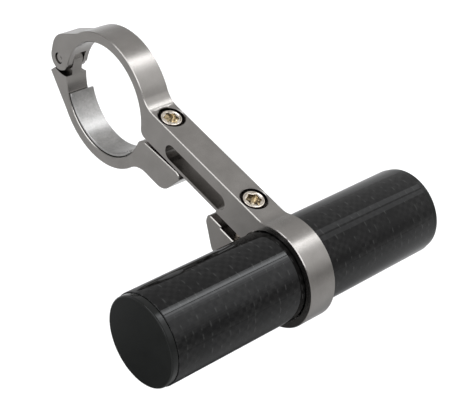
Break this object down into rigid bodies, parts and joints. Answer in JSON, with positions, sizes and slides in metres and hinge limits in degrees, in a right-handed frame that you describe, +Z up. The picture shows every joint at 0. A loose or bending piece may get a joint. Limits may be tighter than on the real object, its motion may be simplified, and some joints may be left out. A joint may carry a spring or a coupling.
{
  "type": "handlebar extender",
  "caption": "Handlebar extender: hinged bar clamp with a slotted arm that carries a capped cross tube for lights and mounts.",
  "frame": {"origin": "centre of the handlebar bore, midway across the clamp's width", "axes": "+X along the handlebar and the cross tube, +Y from the cross tube towards the clamp's hinge, +Z up, the side of the screw heads"},
  "size_m": [0.0982, 0.1164, 0.0412],
  "materials": {
    "grey_anodised": "machined aluminium, titanium-grey anodised, brushed sheen",
    "bare_aluminium": "plain silver aluminium strip, fine grained",
    "warm_steel": "bright screw steel with a warm tint",
    "carbon": "clear-coated black carbon composite",
    "cap_plastic": "matte black moulded plastic"
  },
  "bodies": {
    "arm_body": {"arm": "grey_anodised", "hinge_pin": "grey_anodised"},
    "jaw_body": {"lower_jaw": "grey_anodised", "jaw_shim": "bare_aluminium"},
    "clamp_screw_body": {"clamp_screw": "warm_steel"},
    "tube_screw_body": {"tube_screw": "warm_steel"},
    "tube_body": {"carbon_tube": "carbon", "end_cap_left": "cap_plastic", "end_cap_right": "cap_plastic"}
  },
  "joints": [
    {"name": "jaw_hinge", "type": "hinge", "parent": "arm_body", "child": "jaw_body", "pos_m": [0, 0.02175, -0.0007], "axis": [1, 0, 0], "range_deg": [0, 90]},
    {"name": "clamp_screw_travel", "type": "slide", "parent": "arm_body", "child": "clamp_screw_body", "axis": [0, 0, 1], "range_m": [0, 0.008]},
    {"name": "tube_screw_travel", "type": "slide", "parent": "arm_body", "child": "tube_screw_body", "axis": [0, 0, 1], "range_m": [0, 0.012]},
    {"name": "tube_slide", "type": "slide", "parent": "arm_body", "child": "tube_body", "axis": [1, 0, 0], "range_m": [-0.039, 0.039]}
  ],
  "couplings": [
    {"joint": "clamp_screw_travel", "follows": "jaw_hinge", "m_per_rad": 0.005029}
  ]
}
